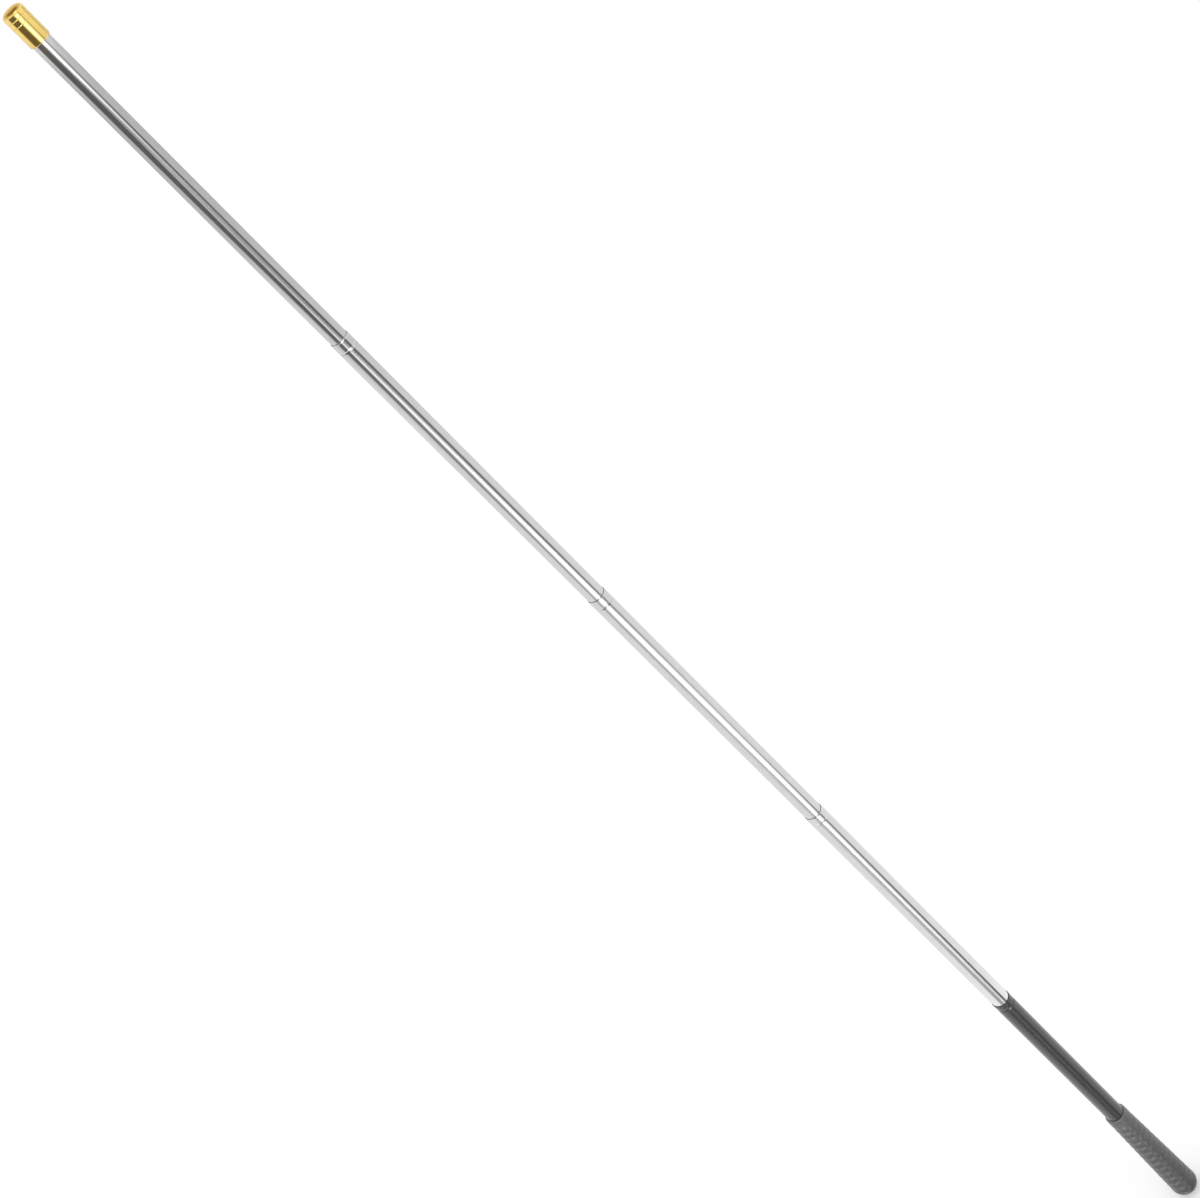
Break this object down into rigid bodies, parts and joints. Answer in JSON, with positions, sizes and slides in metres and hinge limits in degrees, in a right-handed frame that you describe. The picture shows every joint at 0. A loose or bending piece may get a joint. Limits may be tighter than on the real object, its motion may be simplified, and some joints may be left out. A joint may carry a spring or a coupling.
{
  "type": "telescopic fishing pole",
  "caption": "Plain telescopic pole: polished steel tubes that slide into a black handle tube with a tapered rubber grip, closed by a gold cap, with no guides or reel seat.",
  "frame": {"origin": "middle of the rounded butt, on the pole's axis, at the bottom of the grip", "axes": "+Z along the pole from the butt to the cap; X and Y across it"},
  "size_m": [0.0284, 0.0284, 1.6457],
  "materials": {
    "polished_steel": "polished",
    "black_coating": "satin",
    "grip_rubber": "matte",
    "gold_brass": "polished",
    "spring_bronze": "satin",
    "nylon": "matte",
    "pad_rubber": "matte"
  },
  "bodies": {
    "handle": {"grip": "grip_rubber", "handle_tube": "black_coating", "butt_plug": "nylon", "bumper_pad": "pad_rubber"},
    "lower_shims": {"lower_shim_left": "spring_bronze", "lower_shim_right": "spring_bronze"},
    "lower_section": {"lower_tube": "polished_steel"},
    "middle_shims": {"middle_shim_left": "spring_bronze", "middle_shim_right": "spring_bronze"},
    "middle_section": {"middle_tube": "polished_steel"},
    "upper_shims": {"upper_shim_left": "spring_bronze", "upper_shim_right": "spring_bronze"},
    "upper_section": {"upper_tube": "polished_steel"},
    "tip_shims": {"tip_shim_left": "spring_bronze", "tip_shim_right": "spring_bronze"},
    "tip_section": {"tip_tube": "polished_steel", "cap_plug": "nylon", "end_cap": "gold_brass"}
  },
  "joints": [
    {"name": "lower_slide", "type": "slide", "parent": "handle", "child": "lower_shims", "axis": [0, 0, -1], "range_m": [0, 0.3135]},
    {"name": "lower_twist", "type": "hinge", "parent": "lower_shims", "child": "lower_section", "pos_m": [0, 0, 0.3518], "axis": [0, 0, 1], "continuous": true},
    {"name": "middle_slide", "type": "slide", "parent": "lower_section", "child": "middle_shims", "axis": [0, 0, -1], "range_m": [0, 0.3101]},
    {"name": "middle_twist", "type": "hinge", "parent": "middle_shims", "child": "middle_section", "pos_m": [0, 0, 0.6676], "axis": [0, 0, 1], "continuous": true},
    {"name": "upper_slide", "type": "slide", "parent": "middle_section", "child": "upper_shims", "axis": [0, 0, -1], "range_m": [0, 0.3101]},
    {"name": "upper_twist", "type": "hinge", "parent": "upper_shims", "child": "upper_section", "pos_m": [0, 0, 0.98], "axis": [0, 0, 1], "continuous": true},
    {"name": "tip_slide", "type": "slide", "parent": "upper_section", "child": "tip_shims", "axis": [0, 0, -1], "range_m": [0, 0.3015]},
    {"name": "tip_twist", "type": "hinge", "parent": "tip_shims", "child": "tip_section", "pos_m": [0, 0, 1.2924], "axis": [0, 0, 1], "continuous": true}
  ]
}
